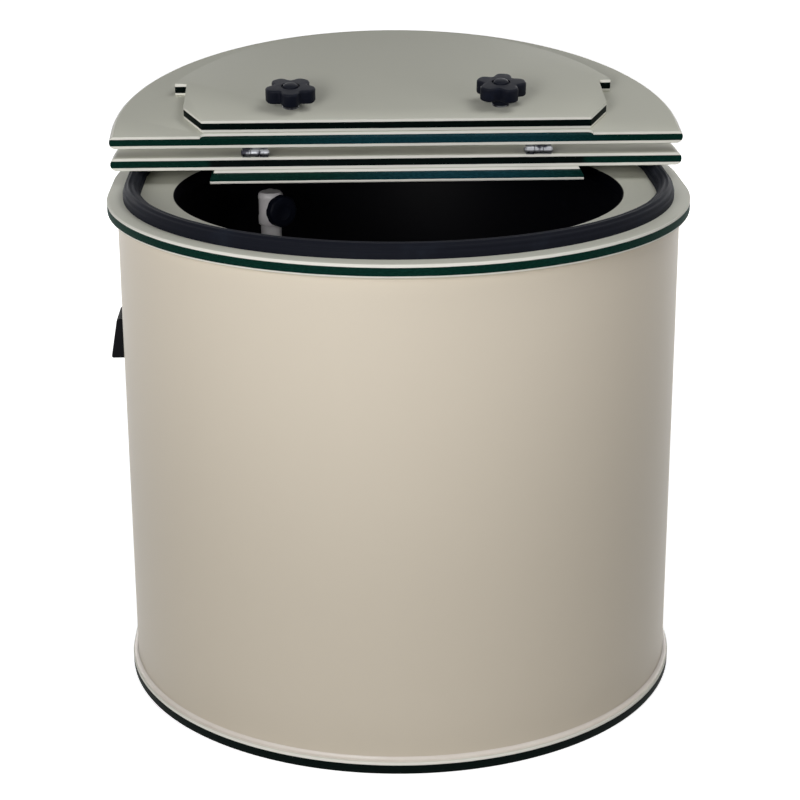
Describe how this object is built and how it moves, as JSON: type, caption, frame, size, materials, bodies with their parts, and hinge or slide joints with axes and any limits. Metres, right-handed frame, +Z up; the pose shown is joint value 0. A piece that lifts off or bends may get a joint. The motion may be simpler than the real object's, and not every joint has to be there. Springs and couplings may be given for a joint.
{
  "type": "live bait well",
  "caption": "Insulated live bait tank with round ends, a fixed rear lid, a front lid that folds back on hinges, a clamped splash baffle and an inlet riser with a valve.",
  "frame": {"origin": "centre of the base plate's underside", "axes": "+Z up; the front lid's side faces -Y; X runs along the hinge line, +X to the right seen from the front"},
  "size_m": [0.5655, 0.62, 0.5937],
  "materials": {
    "marine_sheet": "satin",
    "dark_liner": "satin",
    "foam": "matte",
    "seal_rubber": "matte",
    "black_plastic": "satin",
    "steel": "satin",
    "white_pvc": "satin"
  },
  "bodies": {
    "tank": {"base_plate": "marine_sheet", "base_weld_bead": "marine_sheet", "drain_flange_nut": "white_pvc", "drain_hose_barb": "black_plastic", "drain_pipe": "white_pvc", "drain_strainer": "black_plastic", "floor_insulation": "foam", "hinge_leaf_fixed_left": "steel", "hinge_leaf_fixed_right": "steel", "hinge_pin_left": "steel", "hinge_pin_right": "steel", "inlet_elbow": "white_pvc", "inlet_flange_nut": "white_pvc", "inlet_hose_barb": "black_plastic", "inlet_pipe": "white_pvc", "lid_ledge": "marine_sheet", "lid_seal": "seal_rubber", "outer_shell": "marine_sheet", "overflow_hood": "black_plastic", "overflow_pipe": "white_pvc", "overflow_strainer": "black_plastic", "rear_lid": "marine_sheet", "riser_pipe": "white_pvc", "screw_fixed_left_a": "steel", "screw_fixed_left_b": "steel", "screw_fixed_right_a": "steel", "screw_fixed_right_b": "steel", "spout": "white_pvc", "tank_floor": "dark_liner", "tank_liner": "dark_liner", "top_ring": "marine_sheet", "valve_body": "white_pvc", "wall_insulation": "foam"},
    "front_lid": {"front_lid": "marine_sheet", "hinge_leaf_moving_left": "steel", "hinge_leaf_moving_right": "steel", "knob_washer_left": "steel", "knob_washer_right": "steel", "screw_moving_left_a": "steel", "screw_moving_left_b": "steel", "screw_moving_right_a": "steel", "screw_moving_right_b": "steel", "splash_baffle": "marine_sheet"},
    "knob_left": {"star_knob_left": "black_plastic", "knob_stud_left": "steel"},
    "knob_right": {"star_knob_right": "black_plastic", "knob_stud_right": "steel"},
    "valve_knob": {"valve_knob": "black_plastic", "valve_stem": "steel"}
  },
  "joints": [
    {"name": "front_lid_hinge", "type": "hinge", "parent": "tank", "child": "front_lid", "pos_m": [0, 0, 0.5159], "axis": [1, 0, 0], "range_deg": [0, 169.5]},
    {"name": "left_knob_turn", "type": "hinge", "parent": "front_lid", "child": "knob_left", "pos_m": [-0.1035, 0.03392, 0.56887], "axis": [0, 0.1822, -0.9833], "continuous": true},
    {"name": "right_knob_turn", "type": "hinge", "parent": "front_lid", "child": "knob_right", "pos_m": [0.1035, 0.03392, 0.56887], "axis": [0, 0.1822, -0.9833], "continuous": true},
    {"name": "valve_turn", "type": "hinge", "parent": "tank", "child": "valve_knob", "pos_m": [-0.12752, 0.10512, 0.436], "axis": [0.5592, -0.829, 0], "range_deg": [0, 90]}
  ]
}
